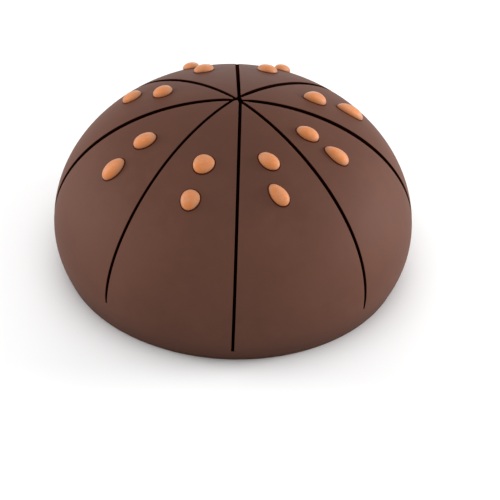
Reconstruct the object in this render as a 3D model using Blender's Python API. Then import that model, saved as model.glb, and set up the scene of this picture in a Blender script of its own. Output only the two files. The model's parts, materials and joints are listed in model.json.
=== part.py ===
"""A glazed chocolate truffle cake: a dome scored into eight portions, with two drops on each.

Metres, +Z up. The origin is at the middle of the underside, and the front cut faces -Y.
"""

import math

import bmesh
import bpy
from mathutils import Matrix, Vector

MM = 0.001
UP = Vector((0, 0, 1))
QUARTER = math.pi / 2
PORTIONS = 8

# The dome, in metres.
WIDTH = 0.200
HEIGHT = 0.1065
BELT_HEIGHT = 0.024
BASE_WIDTH = 0.1875
RIM_ROUNDING = 0.0015
SIDE_FULLNESS = 1.82
TOP_FULLNESS = 2.03
DOME_SIDES = 80
UPPER_RINGS = 20
LOWER_RINGS = 4
RIM_RINGS = 2

# The cuts. Four strokes of a knife cross near the crown, each from one side to the other.
CUT_DEPTH = 0.007
SHOULDER_SHARE = 0.4
CUT_LIP = 0.0004
CUT_FLOOR_SHARE = 0.45
CUT_CLEAR = 0.003
CUT_STATIONS = 20
TUCK_STATIONS = 3
# How far each stroke passes the axis, in mm, to the left of its near cut.
STROKES = (1.4, 0.9, 3.8, 2.6)
# One row a cut, from the front one towards the left: its turn off the even eighths in degrees, its
# bow to the left, its width near the crown and at the belt, its depth from the shoulder down, and
# its stop above the base, in mm. The back one is shallow, as it doesn't notch the outline.
CUTS = (
    ("front", 0.4, -0.1, 1.7, 1.7, 7, 10),
    ("front_left", 3.5, -0.3, 1.5, 1.8, 7, 22),
    ("left", 1.2, -1.0, 2.2, 3.4, 7, 16),
    ("back_left", 1.6, 0.3, 1.6, 2.6, 7, 18),
    ("back", 0.7, 1.9, 1.8, 2.0, 0.8, 16),
    ("back_right", 0.5, -1.2, 2.0, 2.6, 7, 18),
    ("right", 0.9, 0.0, 2.2, 3.8, 7, 16),
    ("front_right", 2.7, -0.1, 1.9, 2.0, 7, 18),
)

# The drops, an inner and an outer one on each portion.
DROP_HEIGHT = 0.0034
DROP_BELLY = 0.0005
DROP_GAP = 0.0003
DROP_SEGMENTS = 14
DROP_RINGS = 8
# One row a drop, from the portion left of the front cut towards the left: its distance from the
# axis in mm, its turn off the middle of an even portion in degrees, its length and width in mm,
# the turn of its length from straight downhill, and how much wider its lower end is.
DROPS = (
    ("front_left", (50.2, 3.2, 11.2, 11.7, 51, 0.10), (68.3, 3, 11.5, 10.3, -10, -0.11)),
    ("left_front", (54.5, 4.8, 13.1, 9.3, -21, 0.04), (73, 5.2, 14.8, 9.8, -7, 0.04)),
    ("left_back", (43, 4, 11.2, 9.3, 12, -0.10), (63, 0.8, 11.8, 9.6, 9, -0.11)),
    ("back_left", (40.5, 5, 10.2, 11.5, 0, 0.05), (60.5, 4.8, 12.5, 8.8, 5, 0.10)),
    ("back_right", (41.5, 1, 10.2, 11.8, 10, 0.05), (61.5, -1, 12.0, 8.8, -5, 0.10)),
    ("right_back", (44, -4.3, 14.1, 9.2, 3, 0.30), (65, -4.5, 18.2, 8.8, 2, 0.28)),
    ("right_front", (43.3, -6.5, 12.9, 8.6, 20, 0.09), (60.2, -4.5, 15.2, 8.0, 15, 0.27)),
    ("front_right", (47.8, -0.9, 12.5, 8.9, 37, 0.08), (64.8, -1.5, 13.8, 8.6, 26, 0.14)),
)

# The finishes: linear colour and roughness.
GLAZE_COLOUR = (0.105, 0.047, 0.033, 1.0)
GLAZE_ROUGHNESS = 0.32
CARAMEL_COLOUR = (0.62, 0.27, 0.115, 1.0)
CARAMEL_ROUGHNESS = 0.42
SHARP_ANGLE = math.radians(35)
MERGE = 1e-6


def material(name, colour, roughness):
    made = bpy.data.materials.new(name)
    made.use_nodes = True
    shader = made.node_tree.nodes["Principled BSDF"]
    shader.inputs["Base Color"].default_value = colour
    shader.inputs["Roughness"].default_value = roughness
    shader.inputs["Metallic"].default_value = 0.0
    return made


def new_object(name, bm, finish=None):
    bmesh.ops.recalc_face_normals(bm, faces=bm.faces)
    mesh = bpy.data.meshes.new(name)
    bm.to_mesh(mesh)
    bm.free()
    made = bpy.data.objects.new(name, mesh)
    bpy.context.collection.objects.link(made)
    if finish:
        mesh.materials.append(finish)
        mesh.shade_smooth()
        mesh.set_sharp_from_angle(angle=SHARP_ANGLE)
    return made


def upper_outline(turn):
    """The outline's radius and height above the belt: at the belt the turn is 0, at the crown a quarter."""
    radius = WIDTH / 2 * math.cos(turn) ** (2 / SIDE_FULLNESS)
    rise = (HEIGHT - BELT_HEIGHT) * math.sin(turn) ** (2 / TOP_FULLNESS)
    return radius, BELT_HEIGHT + rise


def lower_outline(height):
    """The outline's radius and height below the belt, where the side tucks in."""
    drop = (BELT_HEIGHT - height) / BELT_HEIGHT
    return WIDTH / 2 - (WIDTH - BASE_WIDTH) / 2 * drop**2, height


def dome_height(radius):
    """The height of the dome over a distance from its axis."""
    share = min(radius / (WIDTH / 2), 1.0)
    return upper_outline(math.acos(share ** (SIDE_FULLNESS / 2)))[1]


def dome_outline():
    """The outline from the crown down to the middle of the underside."""
    points = [upper_outline(QUARTER * (1 - i / UPPER_RINGS)) for i in range(UPPER_RINGS + 1)]
    step = (BELT_HEIGHT - RIM_ROUNDING) / LOWER_RINGS
    points += [lower_outline(BELT_HEIGHT - step * i) for i in range(1, LOWER_RINGS + 1)]
    rim = points[-1][0] - RIM_ROUNDING
    for i in range(1, RIM_RINGS + 1):
        turn = QUARTER * i / RIM_RINGS
        points.append((rim + RIM_ROUNDING * math.cos(turn), RIM_ROUNDING * (1 - math.sin(turn))))
    return points + [(0, 0)]


def make_dome(finish):
    bm = bmesh.new()
    corners = [bm.verts.new((radius, 0, height)) for radius, height in dome_outline()]
    edges = [bm.edges.new(pair) for pair in zip(corners, corners[1:])]
    turn = {"axis": (0, 0, 1), "angle": 4 * QUARTER, "steps": DOME_SIDES, "use_merge": True}
    bmesh.ops.spin(bm, geom=corners + edges, **turn)
    bmesh.ops.remove_doubles(bm, verts=bm.verts, dist=MERGE)
    return new_object("cake", bm, finish)


def cut_line(number):
    """One cut from the crown to its stop: the points of its middle, its left sides, widths and depths."""
    _, off, bow, crown_width, belt_width, depth, stop = CUTS[number]
    azimuth = math.radians(off - 90 - 360 / PORTIONS * number)
    ahead = Vector((math.cos(azimuth), math.sin(azimuth), 0))
    left = Vector((-ahead.y, ahead.x, 0))
    near = number < len(STROKES)
    passing = STROKES[number % len(STROKES)] * MM * (1 if near else -1)

    outline = [upper_outline(QUARTER * (1 - i / CUT_STATIONS)) for i in range(1, CUT_STATIONS + 1)]
    step = (BELT_HEIGHT - stop * MM) / TUCK_STATIONS
    outline += [lower_outline(BELT_HEIGHT - step * i) for i in range(1, TUCK_STATIONS + 1)]

    line = [(left * passing + UP * dome_height(abs(passing)), left, crown_width * MM, CUT_DEPTH)]
    for radius, height in outline:
        share = radius / (WIDTH / 2)
        aside = passing + bow * MM * math.sin(math.pi * share)
        point = ahead * math.sqrt(radius**2 - aside**2) + left * aside + UP * height
        width = (crown_width + (belt_width - crown_width) * share) * MM
        deep = CUT_DEPTH + (depth * MM - CUT_DEPTH) * min(share / SHOULDER_SHARE, 1.0)
        line.append((point, left, width, deep))
    return line


def make_stroke(number):
    """The solid that one stroke of the knife takes out, through a near cut, the crown and a far cut."""
    near = [(point, -left, width, deep) for point, left, width, deep in cut_line(number)]
    line = near[::-1] + cut_line(number + len(STROKES))[1:]

    def section(i):
        """The six corners of the cut at one station, up one wall and down the other."""
        point, left, width, deep = line[i]
        before = line[max(i - 1, 0)][0]
        after = line[min(i + 1, len(line) - 1)][0]
        out = (after - before).cross(left).normalized()
        levels = (
            (-deep, width / 2 * CUT_FLOOR_SHARE),
            (-CUT_LIP, width / 2),
            (CUT_CLEAR, width / 2 + CUT_CLEAR),
        )
        one_wall = [point + out * level + left * half for level, half in levels]
        other_wall = [point + out * level - left * half for level, half in levels]
        return one_wall + other_wall[::-1]

    bm = bmesh.new()
    corner = bm.verts.layers.int.new("corner")
    face = bm.faces.new([bm.verts.new(place) for place in section(0)])
    for k, vert in enumerate(face.verts):
        vert[corner] = k
    for i in range(1, len(line)):
        behind = face
        grown = bmesh.ops.extrude_face_region(bm, geom=[behind])["geom"]
        face = next(piece for piece in grown if isinstance(piece, bmesh.types.BMFace))
        if i > 1:
            bmesh.ops.delete(bm, geom=[behind], context="FACES_ONLY")
        places = section(i)
        for vert in face.verts:
            vert.co = places[vert[corner]]
    made = new_object("stroke_" + CUTS[number][0], bm)
    made.hide_render = True
    made.display_type = "WIRE"
    return made


def make_drop(name, middle, row, finish):
    """A rounded, egg-shaped drop that follows the dome under it."""
    distance, off, length, width, turn, egg = row
    distance, half_length, half_width = distance * MM, length / 2 * MM, width / 2 * MM
    foot = Vector((distance, 0, dome_height(distance)))
    downhill = Vector((MM, 0, dome_height(distance + MM) - foot.z)).normalized()
    out = Vector((-downhill.z, 0, downhill.x))
    own_turn = Matrix.Rotation(math.radians(turn), 3, out)
    ahead = own_turn @ downhill
    aside = own_turn @ out.cross(downhill)

    bm = bmesh.new()
    bmesh.ops.create_uvsphere(bm, u_segments=DROP_SEGMENTS, v_segments=DROP_RINGS, radius=1)
    for vert in bm.verts:
        x, y, z = vert.co
        if z > 0:
            lift = DROP_BELLY + (DROP_HEIGHT - DROP_BELLY) * z
        else:
            lift = DROP_BELLY * (1 + z) ** 2
        flat = foot + ahead * (x * half_length) + aside * (y * (1 + egg * x) * half_width)
        over = (flat.z - dome_height(math.hypot(flat.x, flat.y))) * out.z
        vert.co = flat + out * (lift + DROP_GAP - over)
    around = Matrix.Rotation(math.radians(middle + off), 3, "Z")
    bmesh.ops.rotate(bm, verts=bm.verts, matrix=around)
    return new_object(name, bm, finish)


for thing in list(bpy.data.objects):
    bpy.data.objects.remove(thing)

glaze = material("chocolate_glaze", GLAZE_COLOUR, GLAZE_ROUGHNESS)
caramel = material("caramel_chocolate", CARAMEL_COLOUR, CARAMEL_ROUGHNESS)

cake = make_dome(glaze)
for i in range(len(STROKES)):
    stroke = make_stroke(i)
    cut = cake.modifiers.new(stroke.name, "BOOLEAN")
    cut.operation = "DIFFERENCE"
    cut.object = stroke

for i, (portion, inner, outer) in enumerate(DROPS):
    middle = 270 - 360 / PORTIONS * (i + 0.5)
    make_drop(f"drop_{portion}_inner", middle, inner, caramel)
    make_drop(f"drop_{portion}_outer", middle, outer, caramel)
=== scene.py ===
import json
import math

import bmesh
import bpy
from mathutils import Matrix, Vector

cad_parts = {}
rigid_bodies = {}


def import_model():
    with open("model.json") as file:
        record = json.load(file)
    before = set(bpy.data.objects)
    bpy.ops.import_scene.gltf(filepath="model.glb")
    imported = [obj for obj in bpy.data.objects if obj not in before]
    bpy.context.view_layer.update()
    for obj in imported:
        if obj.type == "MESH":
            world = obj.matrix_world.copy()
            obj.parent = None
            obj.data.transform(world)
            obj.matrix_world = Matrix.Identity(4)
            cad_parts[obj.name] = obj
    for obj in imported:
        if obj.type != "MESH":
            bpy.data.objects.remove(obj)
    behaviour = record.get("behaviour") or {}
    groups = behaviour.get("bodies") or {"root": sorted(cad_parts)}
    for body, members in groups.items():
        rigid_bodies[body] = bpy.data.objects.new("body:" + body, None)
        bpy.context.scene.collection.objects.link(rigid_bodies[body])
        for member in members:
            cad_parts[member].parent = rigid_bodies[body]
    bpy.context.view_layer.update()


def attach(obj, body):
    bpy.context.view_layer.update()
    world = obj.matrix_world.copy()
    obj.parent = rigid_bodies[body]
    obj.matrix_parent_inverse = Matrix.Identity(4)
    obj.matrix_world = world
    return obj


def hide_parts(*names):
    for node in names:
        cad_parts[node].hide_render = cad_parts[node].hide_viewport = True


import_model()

# ---------------------------------------------------------------------------------------------
# The dome: sponge and truffle cream set in a bowl mould, turned out, and covered all over with
# milk chocolate glaze, which sets to a smooth satin skin. So the body is one turned form, widest
# at the belt, with a slight tuck under it down to the flat underside.
# ---------------------------------------------------------------------------------------------
MM = 0.001
UP = Vector((0, 0, 1))
QUARTER = math.pi / 2
MERGE_WITHIN = 1e-6

# Sizes are in metres. A fullness of 2 gives an ellipse, and more of it a squarer curve.
DOME_RADIUS = 0.09997
DOME_HEIGHT = 0.10645
BELT_HEIGHT = 0.024
BASE_RADIUS = 0.0937
RIM_ROUNDING = 0.0015
SIDE_FULLNESS = 1.82
TOP_FULLNESS = 2.03
DOME_SIDES = 288
UPPER_RINGS = 104
LOWER_RINGS = 16
RIM_RINGS = 5
UNDERSIDE_RINGS = (0.8, 0.5, 0.2)


def quarter_curve(turn, side_fullness, top_fullness):
    """How far out and how far up such a curve is at a turn from its side, as shares of its axes."""
    return max(math.cos(turn), 0) ** (2 / side_fullness), math.sin(turn) ** (2 / top_fullness)


def skin(turn):
    """The dome's radius and height from the belt, where the turn is 0, to the crown, a quarter on."""
    out, up = quarter_curve(turn, SIDE_FULLNESS, TOP_FULLNESS)
    return DOME_RADIUS * out, BELT_HEIGHT + (DOME_HEIGHT - BELT_HEIGHT) * up


def tuck(height):
    """The dome's radius and height below the belt."""
    drop = (BELT_HEIGHT - height) / BELT_HEIGHT
    return DOME_RADIUS - (DOME_RADIUS - BASE_RADIUS) * drop**2, height


def skin_height(radius):
    """The height of the glaze over a distance from the dome's axis."""
    share = min(radius / DOME_RADIUS, 1.0)
    return skin(math.acos(share ** (SIDE_FULLNESS / 2)))[1]


class Wire:
    """A shader node's output. Python's operators on wires and numbers add Math nodes to its tree."""

    def __init__(self, socket):
        self.socket = socket

    def node(self, kind, settings=None, sockets=None, out=0):
        """Any other node: its settings come first, then its sockets' values or wires."""
        tree = self.socket.id_data
        made = tree.nodes.new(kind)
        for name, value in (settings or {}).items():
            setattr(made, name, value)
        for key, value in (sockets or {}).items():
            if isinstance(value, Wire):
                tree.links.new(value.socket, made.inputs[key])
            else:
                made.inputs[key].default_value = value
        return Wire(made.outputs[out])

    def maths(self, operation, *values):
        return self.node("ShaderNodeMath", {"operation": operation}, dict(enumerate(values)))

    def __add__(self, other):
        return self.maths("ADD", self, other)

    def __mul__(self, other):
        return self.maths("MULTIPLY", self, other)

    def __sub__(self, other):
        return self.maths("SUBTRACT", self, other)

    def __rsub__(self, other):
        return self.maths("SUBTRACT", other, self)

    __radd__ = __add__
    __rmul__ = __mul__

    def step(self, low, high):
        """A smooth step from 0 at low to 1 at high."""
        limits = {"Value": self, "From Min": low, "From Max": high}
        return self.node("ShaderNodeMapRange", {"interpolation_type": "SMOOTHSTEP"}, limits)

    def mix(self, first, second):
        """The first colour where this wire is 0, and the second where it is 1."""
        colours = {0: self, 6: first, 7: second}
        return self.node("ShaderNodeMix", {"data_type": "RGBA"}, colours, out=2)

    def noise(self, scale, detail=2.0, roughness=0.5):
        """Cloudy noise about 0.5, on the place that this wire holds; scale is in blotches a metre."""
        values = {"Vector": self, "Scale": scale, "Detail": detail, "Roughness": roughness}
        return self.node("ShaderNodeTexNoise", sockets=values)

    def bump(self, distance, strength=1.0, under=None):
        """A normal from this wire's height, in metres times distance, on top of another bump."""
        values = {"Height": self, "Distance": distance, "Strength": strength}
        if under:
            values["Normal"] = under
        return self.node("ShaderNodeBump", sockets=values)

    def attribute(self, name):
        """The number that the mesh's own attribute holds."""
        return self.node("ShaderNodeAttribute", {"attribute_name": name}, out=2)


def start_finish(name, **constants):
    """A new material, its shader with these constants set, and a wire of the place on the object."""
    made = bpy.data.materials.new(name)
    made.use_nodes = True
    shader = made.node_tree.nodes["Principled BSDF"]
    for socket, value in constants.items():
        shader.inputs[socket.replace("_", " ")].default_value = value
    place = made.node_tree.nodes.new("ShaderNodeTexCoord").outputs["Object"]
    return made, shader, Wire(place)


def feed(shader, **wires):
    for socket, wire in wires.items():
        shader.id_data.links.new(wire.socket, shader.inputs[socket.replace("_", " ")])


MILK_CHOCOLATE = (0.111, 0.0475, 0.0322, 1)
DEEPER_CHOCOLATE = (0.088, 0.037, 0.0248, 1)
# The foot's colour is painted shade.
FOOT_SHADE_CHOCOLATE = (0.078, 0.034, 0.0228, 1)
# The glaze's two kinds of blotch: how many there are a metre, the clouds' share of the tone, and
# the values between which the tone goes from the deeper colour to the milkier one.
CLOUDS = 22
MOTTLE = 160
CLOUDS_SHARE = 0.7
TONE_FADE = (0.2, 0.8)
# The heights over which the glaze leaves the foot's painted shade, grows paler and grows deeper
# again.
# The paler belt is painted light, and the deeper crown and the darker foot are painted shade.
FOOT_SHADE_FADE = (0.002, 0.022)
BELT_LIGHT_FADE = (0.02, 0.05)
CROWN_SHADE_FADE = (0.06, 0.1)
BELT_LIGHT_BY = 0.15
CROWN_SHADE_BY = 0.35
# The waves and the pores of its skin: how many a metre, their depth and their strength.
WAVES = (45, 0.0004, 0.5)
PORES = (700, 0.00003, 0.4)
# Its roughness, and what the mottle adds to that.
GLAZE_SATIN = 0.56
GLAZE_MOTTLED = 0.08


def satin_glaze(place):
    """The glaze's colour, roughness and normal."""
    clouds = place.noise(CLOUDS, detail=3)
    mottle = place.noise(MOTTLE, detail=3)
    height = place.node("ShaderNodeSeparateXYZ", sockets={"Vector": place}, out=2)
    # Painted light round the belt, and painted shade towards the crown; the foot's painted shade
    # follows.
    painted_light_and_shade = BELT_LIGHT_BY * height.step(*BELT_LIGHT_FADE) - CROWN_SHADE_BY * height.step(*CROWN_SHADE_FADE)
    tone = (clouds * CLOUDS_SHARE + mottle * (1 - CLOUDS_SHARE) + painted_light_and_shade).step(*TONE_FADE)
    skin_colour = tone.mix(DEEPER_CHOCOLATE, MILK_CHOCOLATE)
    pores = place.noise(PORES[0], detail=2).bump(*PORES[1:])
    waves = place.noise(WAVES[0], detail=1).bump(*WAVES[1:], under=pores)
    return (
        height.step(*FOOT_SHADE_FADE).mix(FOOT_SHADE_CHOCOLATE, skin_colour),
        GLAZE_SATIN + GLAZE_MOTTLED * mottle,
        waves,
    )


glaze, shader, place = start_finish("milk_chocolate_glaze", Specular_IOR_Level=0.06)
colour, roughness, normal = satin_glaze(place)
feed(shader, Base_Color=colour, Roughness=roughness, Normal=normal)


def turn_outline(outline, sides):
    """A bmesh of an outline turned all the way round, from its pairs of radius and height."""
    bm = bmesh.new()
    corners = [bm.verts.new((radius, 0, height)) for radius, height in outline]
    edges = [bm.edges.new(pair) for pair in zip(corners, corners[1:])]
    full_turn = {"axis": UP, "angle": 4 * QUARTER, "steps": sides, "use_merge": True}
    bmesh.ops.spin(bm, geom=corners + edges, **full_turn)
    bmesh.ops.remove_doubles(bm, verts=bm.verts, dist=MERGE_WITHIN)
    return bm


def make_piece(bm, name, *materials):
    """An object at the origin from a bmesh, with its materials in the order of their indices."""
    mesh = bpy.data.meshes.new(name)
    bm.to_mesh(mesh)
    bm.free()
    for material in materials:
        mesh.materials.append(material)
    piece = bpy.data.objects.new(name, mesh)
    bpy.context.collection.objects.link(piece)
    return piece


outline = [skin(QUARTER * (1 - i / UPPER_RINGS)) for i in range(UPPER_RINGS + 1)]
fall = (BELT_HEIGHT - RIM_ROUNDING) / LOWER_RINGS
outline += [tuck(BELT_HEIGHT - fall * i) for i in range(1, LOWER_RINGS + 1)]
foot = outline[-1][0] - RIM_ROUNDING
for i in range(1, RIM_RINGS + 1):
    turn = QUARTER * i / RIM_RINGS
    outline.append((foot + RIM_ROUNDING * math.cos(turn), RIM_ROUNDING * (1 - math.sin(turn))))
outline += [(foot * share, 0) for share in UNDERSIDE_RINGS] + [(0, 0)]
bm = turn_outline(outline, DOME_SIDES)
bmesh.ops.recalc_face_normals(bm, faces=bm.faces)
dome = make_piece(bm, "glazed_dome", glaze)

# ---------------------------------------------------------------------------------------------
# The cuts: eight strokes of a hot knife from the crown down, which part the glaze into portions
# and stop above the foot. Each has a softened lip where the glaze gave way, and sides painted near
# black as shade. The back one is shallow over the shoulder, because it doesn't notch the outline.
# ---------------------------------------------------------------------------------------------
# In degrees: how far round from the right the front is, and from one cut to the next.
FRONT = -90
PORTION = 45
# The knife's section from its point up: the point's half width and the one above that, as shares
# of the cut's; the lip's rounding, in metres, the number of the corner that it starts at, and the
# turns of the corners above that one, in degrees; and how far the knife stands clear of the glaze.
KNIFE_POINT = 0.3
KNIFE_SHOULDER = 0.55
LIP = 0.00015
LIP_CORNER = 2
LIP_TURNS = (25, 50, 70)
CLEAR = 0.0012
# Along a cut: the length from one section of the knife to the next, in metres, and the finer
# steps that they're chosen from, which are given in mm where the cut starts past the axis.
STATION = 0.0016
UPPER_STEPS = 400
LOWER_STEPS = 12
PAST_AXIS_STEP = 0.5
# The depth of a cut at distances from the axis, both in mm.
DEEP = ((0, 7), (100, 7))
# Over the back shoulder the cut is only 0.3 mm deep, so its near-black line there is painted shade.
SHALLOW_SHOULDER = ((18, 7), (34, 0.3), (74, 0.3), (90, 7))
# One row a cut, from the front one towards the left: its turn off the even eighths, in degrees;
# how far it passes the axis to its left, its bow and its sway to the left; the distance from the
# axis where it starts, and the height where it stops; its widths at its start, near the crown,
# halfway, near its end and at its end, all in mm; and its depths.
CUTS = (
    ("front", 0.4, (1.5, -0.1, 0), (4.0, 8.8), (1.7, 1.8, 1.75, 1.7, 1.6), DEEP),
    ("front_left", 2.8, (1.2, 1.05, -1.1), (2.2, 20.5), (1.6, 1.8, 1.7, 1.9, 1.0), DEEP),
    ("left", 1.2, (4.1, -1.0, 0), (0.5, 16), (1.2, 2.6, 3.8, 4.6, 1.2), DEEP),
    ("back_left", 1.6, (2.8, 0.3, 0), (-1.0, 18), (1.5, 2.1, 3.8, 2.2, 1.0), DEEP),
    ("back", 0.7, (-0.75, 1.0, 0), (-1.5, 16), (1.8, 1.95, 2.2, 2.2, 1.0), SHALLOW_SHOULDER),
    ("back_right", 0.5, (-1.8, -1.0, 0), (0.4, 18), (2.0, 2.8, 4.0, 2.2, 1.0), DEEP),
    ("right", 0.9, (-4.4, 0.5, 0), (2.0, 16), (1.4, 2.8, 4.2, 4.8, 1.2), DEEP),
    ("front_right", 2.7, (-2.6, -0.5, 0), (3.2, 18), (1.8, 2.1, 2.2, 2.0, 1.0), DEEP),
)
# How long the start and the end of a cut are, in metres, and how full the end is two thirds down.
START_LENGTH = 0.006
END_LENGTH = 0.016
END_FULLNESS = 0.7
# Two short strokes join them at the crown: the ends in the plan, and the width, in mm.
CROWN_STROKES = (((-2.4, -3.9), (1.0, -2.9), 2.1), ((0.5, -1.4), (1.9, -5.9), 2.6))
CROWN_STEPS = 4

# The cuts' walls and floor: the chocolate inside, painted near black as the narrow cut's shade.
CUT_SHADE = (0.006, 0.0012, 0.0006, 1)
CUT_SHADE_GRAIN = (0.012, 0.0026, 0.0014, 1)
GRAINS = 900
GRAIN_FADE = (0.3, 0.7)
GRAIN_DEPTH = 0.0001
painted_shade_in_cuts, shader, place = start_finish(
    "painted_shade_in_knife_cuts", Roughness=0.9, Specular_IOR_Level=0.0
)
grain = place.noise(GRAINS, detail=3)
feed(
    shader,
    Base_Color=grain.step(*GRAIN_FADE).mix(CUT_SHADE, CUT_SHADE_GRAIN),
    Normal=grain.bump(GRAIN_DEPTH, 0.5),
)


def knife_section(depth, half):
    """How far out and how far aside each corner of the knife is, up one side of it."""
    rounding = min(half * KNIFE_POINT, (depth - LIP) / 2)
    corners = [(-depth, half * KNIFE_POINT), (rounding - depth, half * KNIFE_SHOULDER), (-LIP, half)]
    for degrees in LIP_TURNS:
        turn = math.radians(degrees)
        corners.append((LIP * (math.sin(turn) - 1), half + LIP * (1 - math.cos(turn))))
    level, aside = corners[-1]
    corners.append((level + CLEAR, aside + CLEAR / math.tan(QUARTER - turn)))
    return corners


def make_knife(name, line):
    """A knife along a line of points, with each point's left side, width and depth."""
    bm = bmesh.new()
    corner = bm.verts.layers.int.new("corner")

    def section_places(i):
        point, left, width, depth = line[i]
        ahead = line[min(i + 1, len(line) - 1)][0] - line[max(i - 1, 0)][0]
        out = ahead.cross(left).normalized()
        out = out if out.dot(point) > 0 else -out
        one_side = knife_section(depth, width / 2)
        return [point + out * level + left * aside for level, aside in one_side] + [
            point + out * level - left * aside for level, aside in one_side[::-1]
        ]

    face = bm.faces.new([bm.verts.new(place) for place in section_places(0)])
    for k, vert in enumerate(face.verts):
        vert[corner] = k
    last = len(face.verts) - 1
    for i in range(1, len(line)):
        behind = face
        grown = bmesh.ops.extrude_face_region(bm, geom=[behind])["geom"]
        face = next(piece for piece in grown if isinstance(piece, bmesh.types.BMFace))
        if i > 1:
            bmesh.ops.delete(bm, geom=[behind], context="FACES_ONLY")
        places = section_places(i)
        for vert in face.verts:
            vert.co = places[vert[corner]]
    bmesh.ops.recalc_face_normals(bm, faces=bm.faces)
    for face in bm.faces:
        lowest = min(min(vert[corner], last - vert[corner]) for vert in face.verts)
        face.material_index = 0 if lowest >= LIP_CORNER else 1
    return make_piece(bm, name, glaze, painted_shade_in_cuts)


def blend(pairs, at):
    """The value at a place, straight from each pair of place and value to the next."""
    for (near, first), (far, second) in zip(pairs, pairs[1:]):
        if at <= far:
            return first + (second - first) * max(at - near, 0) / (far - near)
    return pairs[-1][1]


def cut_places(ahead, left, bends, ends):
    """Fine steps down a cut. It bows one way, and sways first that way and then the other."""
    passing, bow, sway = bends
    start, stop = ends
    reach = math.sqrt(DOME_RADIUS**2 - (passing * MM) ** 2)
    places = []
    for i in range(int(min(start, 0) / PAST_AXIS_STEP), UPPER_STEPS + 1):
        turn = QUARTER * (1 - max(i, 0) / UPPER_STEPS)
        along = reach * quarter_curve(turn, SIDE_FULLNESS, TOP_FULLNESS)[0]
        along += min(i, 0) * PAST_AXIS_STEP * MM
        if along < start * MM:
            continue
        bowed = bow * math.sin(math.pi * max(along, 0) / reach)
        swayed = sway * math.sin(4 * (QUARTER - turn))
        aside = (passing + bowed + swayed) * MM
        height = skin_height(math.hypot(along, aside))
        places.append(ahead * along + left * aside + UP * height)
    drop = (BELT_HEIGHT - stop * MM) / LOWER_STEPS
    for i in range(1, LOWER_STEPS + 1):
        radius, height = tuck(BELT_HEIGHT - drop * i)
        along = math.sqrt(radius**2 - (passing * MM) ** 2)
        places.append(ahead * along + left * passing * MM + UP * height)
    return places


def cut_line(number, off, bends, ends, widths, depths):
    """The points of a cut from the crown down, with the left side, width and depth at each."""
    azimuth = math.radians(off + FRONT - PORTION * number)
    ahead = Vector((math.cos(azimuth), math.sin(azimuth), 0))
    left = Vector((-ahead.y, ahead.x, 0))
    places = cut_places(ahead, left, bends, ends)
    points = places[:1]
    for place in places[1:-1]:
        if (place - points[-1]).length >= STATION and (place - places[-1]).length >= STATION / 2:
            points.append(place)
    points.append(places[-1])
    run = [0]
    for first, second in zip(points, points[1:]):
        run.append(run[-1] + (second - first).length)

    whole = run[-1]
    tip, crown, middle, lower, end = widths
    leaf = end + END_FULLNESS * (lower - end)
    along = [(0, tip), (START_LENGTH, crown), (whole / 2, middle), (whole - END_LENGTH, lower)]
    along += [(whole - END_LENGTH / 3, leaf), (whole, end)]
    line = []
    for point, at in zip(points, run):
        depth = blend(depths, math.hypot(point.x, point.y) / MM)
        line.append((point, left, blend(along, at) * MM, depth * MM))
    return line


knives = bpy.data.collections.new("knives")
bpy.context.scene.collection.children.link(knives)
for number, (name, *row) in enumerate(CUTS):
    knives.objects.link(make_knife("knife_" + name, cut_line(number, *row)))
for i, (first, last, width) in enumerate(CROWN_STROKES):
    start, end = (
        Vector((x * MM, y * MM, skin_height(math.hypot(x, y) * MM))) for x, y in (first, last)
    )
    left = UP.cross(end - start).normalized()
    shares = [k / CROWN_STEPS for k in range(CROWN_STEPS + 1)]
    line = [(start.lerp(end, share), left, width * MM, DEEP[0][1] * MM) for share in shares]
    knives.objects.link(make_knife(f"crown_stroke_{i}", line))

dome.data.materials.append(painted_shade_in_cuts)
cutting = dome.modifiers.new("cuts", "BOOLEAN")
cutting.operation = "DIFFERENCE"
cutting.operand_type = "COLLECTION"
cutting.collection = knives
cutting.solver = "MANIFOLD"
dome.data = bpy.data.meshes.new_from_object(
    dome.evaluated_get(bpy.context.evaluated_depsgraph_get())
)
dome.modifiers.clear()
for knife in list(knives.objects):
    bpy.data.objects.remove(knife)
bpy.data.collections.remove(knives)
dome.data.shade_smooth()
even = dome.modifiers.new("even_shading", "WEIGHTED_NORMAL")
even.mode = "FACE_AREA"
even.weight = 100
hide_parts("cake")
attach(dome, "root")

# ---------------------------------------------------------------------------------------------
# The drops: sixteen little lentils of caramel chocolate, cast in a mould, tumbled to a satin sheen
# and set into the soft glaze, two on each portion. Each has painted shade at its rim and back and a
# deeper orange of painted shade on its lower front, a foot drawn in, and a painted shadow round it.
# ---------------------------------------------------------------------------------------------
# In metres: how high the belly is above the glaze, and how far the drop sinks into it. Then by
# what share of the half width the foot curves in.
DROP_BELLY = 0.0005
DROP_SINK = 0.0003
DROP_TUCK = 0.06
DROP_FULLNESS = 2.1
DROP_SIDES = 72
DROP_RINGS = 18
WALL_RINGS = 5
DROP_UNDERSIDE_RING = 0.5
SHARP_CORNER = math.radians(50)
# The painted contact shadow round a drop: its width and its edge's in mm, its lift off the glaze in
# metres.
SHADOW_RING_WIDTH = 0.9
SHADOW_RING_EDGE = 0.25
SHADOW_RING_LIFT = 0.00005
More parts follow.
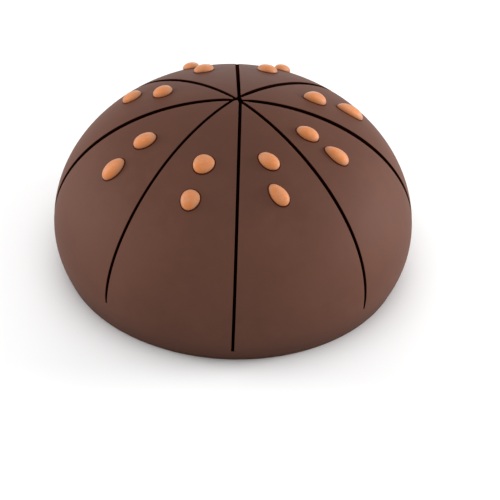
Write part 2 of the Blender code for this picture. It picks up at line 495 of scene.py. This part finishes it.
# One row a portion, from the one left of the front cut towards the left, with its inner and its
# outer drop: the distance from the axis in mm; the turn off the middle of an even portion in
# degrees; the length, width and height in mm; the turn of the length from straight downhill in
# degrees; and how much wider the lower end is.
DROPS = (
    ("front_left", (50.2, 3.2, 11.1, 11.6, 3.1, 51, 0.10), (68.3, 3, 11.4, 10.1, 3.1, -4, -0.11)),
    ("left_front", (54.4, 4.8, 13.1, 9.3, 3.7, -21, 0.04), (72.9, 5.2, 14.9, 9.8, 3.7, -7, 0.04)),
    ("left_back", (42.8, 4, 11.1, 9.2, 3.9, 12, -0.10), (62.4, 0.6, 11.6, 9.5, 3.6, 9, -0.11)),
    ("back_left", (42, 4.4, 10.0, 11.2, 3.45, 0, 0.05), (60.5, 3.5, 12.3, 8.6, 3.3, 5, 0.10)),
    ("back_right", (43.5, 1.1, 10.0, 10.9, 3.5, 10, 0.05), (61.5, -0.9, 11.8, 8.6, 3.4, -5, 0.10)),
    ("right_back", (44, -4.3, 13.9, 9.5, 3.9, 3, 0.30), (65, -4.6, 18.5, 8.9, 3.8, 2, 0.28)),
    ("right_front", (43.3, -6.5, 12.8, 8.4, 3.7, 20, 0.09), (60.2, -4.5, 15.0, 8.3, 3.7, 15, 0.27)),
    ("front_right", (47.8, -0.9, 12.4, 8.8, 3.2, 37, 0.08), (64.8, -1.5, 13.7, 8.5, 3.2, 26, 0.14)),
)

CARAMEL = (0.525, 0.224, 0.108, 1)
DEEP_CARAMEL = (0.545, 0.186, 0.062, 1)
# The next three are painted shade: the lower front's deeper orange, and the duller rim and back.
SHADED_ORANGE_CARAMEL = (0.55, 0.17, 0.04, 1)
SHADED_RIM_CARAMEL = (0.46, 0.2, 0.098, 1)
SHADED_BACK_CARAMEL = (0.375, 0.164, 0.079, 1)
# The caramel's patches and specks: how many a metre, and the values that the colour fades over.
PATCHES = 210
SPECKS = 850
CARAMEL_FADE = (0.38, 0.62)
# Over a drop: rim is 0 in its middle and 1 at its edge, the second attribute grows from about -1 to 1
# towards its lower front, where the colour is deeper, and faced_back is 1 where it faces straight
# back.
# The deeper colour at the lower front, and the duller rim and back, are painted shade.
SHADE_SIDE_AXIS = Vector((-0.3, -0.9, -0.3))
SHADE_SIDE_WANDER = 1.2
SHADE_SIDE_FADE = (0.05, 1.0)
RIM_FADE = (0.66, 0.96)
RIM_SHADE_LOST_ON_SHADE_SIDE = 0.6
BACK_FADE = (-0.4, 0.65)
# Its roughness, what the patches add to that, and its pores: how many, their depth and strength.
DROP_SATIN = 0.42
DROP_PATCHED = 0.12
DROP_PORES = (1500, 0.00004, 0.5)
caramel, shader, place = start_finish(
    "caramel_satin", Specular_IOR_Level=0.15, Sheen_Weight=0.2, Sheen_Roughness=0.3
)
patches = place.noise(PATCHES, detail=2)
specks = place.noise(SPECKS, detail=2)
core = (patches * 0.5 + specks * 0.5).step(*CARAMEL_FADE).mix(CARAMEL, DEEP_CARAMEL)
# Painted shade: deeper orange towards the lower front, and duller colour at the rim and the back.
wander = SHADE_SIDE_WANDER * (patches - 0.5)
on_shade_side = (place.attribute("painted_shade_side") + wander).step(*SHADE_SIDE_FADE)
shaded_rim = place.attribute("rim").step(*RIM_FADE) * (1 - RIM_SHADE_LOST_ON_SHADE_SIDE * on_shade_side)
front_colour = shaded_rim.mix(on_shade_side.mix(core, SHADED_ORANGE_CARAMEL), SHADED_RIM_CARAMEL)
feed(
    shader,
    Base_Color=place.attribute("faced_back").step(*BACK_FADE).mix(front_colour, SHADED_BACK_CARAMEL),
    Roughness=DROP_SATIN + DROP_PATCHED * patches,
    Normal=place.noise(DROP_PORES[0], detail=2).bump(*DROP_PORES[1:]),
)

# Beyond the drop's edge rim goes on from 1, by 1 a millimetre, and the painted contact shadow fades
# out on it.
CONTACT_SHADOW = (0.055, 0.009, 0.0012, 1)
SHADOW_BLOTCHES = 600
SHADOW_WANDER = 0.2
SHADOW_FADE = (1.5, 1.9)
contact_shadow_glaze, shader, place = start_finish("glaze_with_painted_contact_shadow", Specular_IOR_Level=0.06)
wander = SHADOW_WANDER * (place.noise(SHADOW_BLOTCHES) - 0.5)
fade = (place.attribute("rim") + wander).step(*SHADOW_FADE)
colour, roughness, normal = satin_glaze(place)
feed(shader, Base_Color=fade.mix(CONTACT_SHADOW, colour), Roughness=roughness, Normal=normal)


def drop_outline(height):
    """A drop's outline: its radius in shares of the half width up to 1, and then in mm past that."""
    outline = []
    for i in range(DROP_RINGS + 1):
        turn = QUARTER * (1 - i / DROP_RINGS)
        share, up = quarter_curve(turn, DROP_FULLNESS, DROP_FULLNESS)
        outline.append((share, DROP_BELLY + (height - DROP_BELLY) * up))
    for i in range(1, WALL_RINGS + 1):
        share = i / WALL_RINGS
        lift = SHADOW_RING_LIFT + (DROP_BELLY - SHADOW_RING_LIFT) * (1 - share)
        outline.append((1 - DROP_TUCK * share**2, lift))
    # The ring round the foot carries the painted contact shadow.
    shadow_ring_end = 1 + SHADOW_RING_WIDTH
    outline += [(1, SHADOW_RING_LIFT), (shadow_ring_end, SHADOW_RING_LIFT), (shadow_ring_end + SHADOW_RING_EDGE, -SHADOW_RING_LIFT)]
    outline += [(shadow_ring_end, -DROP_SINK), (DROP_UNDERSIDE_RING, -DROP_SINK), (0, -DROP_SINK)]
    return outline


def make_drop(name, middle, row):
    """A drop on the skin of a portion, whose middle is turned this far from the right, in degrees."""
    distance, off, length, width, height, turn, egg = row
    distance, half_length, half_width = distance * MM, length / 2 * MM, width / 2 * MM
    seat = Vector((distance, 0, skin_height(distance)))
    downhill = Vector((MM, 0, skin_height(distance + MM) - seat.z)).normalized()
    out = Vector((-downhill.z, 0, downhill.x))
    own_turn = Matrix.Rotation(math.radians(turn), 3, out)
    ahead = own_turn @ downhill
    aside = own_turn @ out.cross(downhill)
    around = Matrix.Rotation(math.radians(middle + off), 3, "Z")

    bm = turn_outline(drop_outline(height * MM), DROP_SIDES)
    # Faces no higher than the ring take the glaze with the painted contact shadow.
    for face in bm.faces:
        above_shadow_ring = max(vert.co.z for vert in face.verts) > SHADOW_RING_LIFT + MERGE_WITHIN
        face.material_index = 0 if above_shadow_ring else 1
    names = ("rim", "painted_shade_side", "faced_back")
    rim, painted_shade_side, faced_back = (bm.verts.layers.float.new(name) for name in names)
    for vert in bm.verts:
        x, y, lift = vert.co
        share = math.hypot(x, y)
        vert[rim] = share
        vert[painted_shade_side] = (around @ (ahead * x + aside * y)).dot(SHADE_SIDE_AXIS)
        beyond = max(share - 1, 0) * MM
        x, y = x / max(share, 1), y / max(share, 1)
        flat = seat + ahead * (x * half_length) + aside * (y * (1 + egg * x) * half_width)
        flat += (ahead * x + aside * y) * beyond
        over = (flat.z - skin_height(math.hypot(flat.x, flat.y))) * out.z
        vert.co = around @ (flat + out * (lift - over))
    bmesh.ops.recalc_face_normals(bm, faces=bm.faces)
    bm.normal_update()
    for vert in bm.verts:
        vert[faced_back] = vert.normal.y
    drop = make_piece(bm, name, caramel, contact_shadow_glaze)
    drop.data.shade_smooth()
    drop.data.set_sharp_from_angle(angle=SHARP_CORNER)
    return drop


for i, (portion, inner, outer) in enumerate(DROPS):
    middle = FRONT - PORTION * (i + 0.5)
    for where, row in (("inner", inner), ("outer", outer)):
        drop = make_drop(f"caramel_drop_{portion}_{where}", middle, row)
        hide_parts(f"drop_{portion}_{where}")
        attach(drop, "root")

# ---------------------------------------------------------------------------------------------
# The studio: a plain white paper floor that runs out past the view, a white room round it, and
# four round soft lights, one above, one behind and one at each side.
# ---------------------------------------------------------------------------------------------
FLOOR_RADIUS = 30
FLOOR_SIDES = 96
WHITE = (0.86, 0.86, 0.86, 1)
OFF_WHITE = (0.84, 0.84, 0.84, 1)
PAPER_CLOUDS = 3

paper, shader, place = start_finish("white_floor", Roughness=0.9, Specular_IOR_Level=0.1)
feed(shader, Base_Color=place.noise(PAPER_CLOUDS).step(0, 1).mix(WHITE, OFF_WHITE))
bm = bmesh.new()
bmesh.ops.create_circle(bm, cap_ends=True, segments=FLOOR_SIDES, radius=FLOOR_RADIUS)
make_piece(bm, "floor", paper)

ROOM_BRIGHTNESS = 0.74
world = bpy.data.worlds.new("white_room")
bpy.context.scene.world = world
world.use_nodes = True
room = world.node_tree.nodes["Background"].inputs
room["Color"].default_value = (1, 1, 1, 1)
room["Strength"].default_value = ROOM_BRIGHTNESS

# One row a light: its name, its place and size in metres, and its power in watts. All of them
# are aimed at the middle of the cake.
CAKE_MIDDLE = Vector((0, 0, 0.05))
LIGHTS = (
    ("top_light", (0, 0, 2.0), 2.0, 15.8),
    ("back_light", (0, 2.0, 0.5), 1.2, 11.0),
    ("left_light", (-1.6, 0.3, 0.3), 0.8, 17.6),
    ("right_light", (1.6, 0.3, 0.3), 0.8, 28.5),
)
for name, place, size, power in LIGHTS:
    lamp = bpy.data.lights.new(name, "AREA")
    lamp.shape = "DISK"
    lamp.size = size
    lamp.energy = power
    light = bpy.data.objects.new(name, lamp)
    bpy.context.collection.objects.link(light)
    light.location = place
    light.rotation_euler = (CAKE_MIDDLE - Vector(place)).to_track_quat("-Z", "Y").to_euler()

# ---------------------------------------------------------------------------------------------
# The camera, at the photograph's place: a long lens above the front, looking down a little over
# 37 degrees and held slightly out of level. The angles are in degrees, and the lens is in mm.
# ---------------------------------------------------------------------------------------------
CAMERA_PLACE = (0, -0.9811, 0.7501)
CAMERA_HEADING = -0.591
CAMERA_TILT = 52.69
CAMERA_ROLL = 2.406
CAMERA_LENS = 156.82
NEAREST_SEEN = 0.01

camera = bpy.data.objects.new("camera", bpy.data.cameras.new("camera"))
bpy.context.collection.objects.link(camera)
camera.data.lens = CAMERA_LENS
camera.data.clip_start = NEAREST_SEEN
camera.matrix_world = (
    Matrix.Translation(CAMERA_PLACE)
    @ Matrix.Rotation(math.radians(CAMERA_HEADING), 4, "Z")
    @ Matrix.Rotation(math.radians(CAMERA_TILT), 4, "X")
    @ Matrix.Rotation(math.radians(CAMERA_ROLL), 4, "Z")
)
bpy.context.scene.camera = camera
bpy.context.scene.view_settings.view_transform = "Standard"
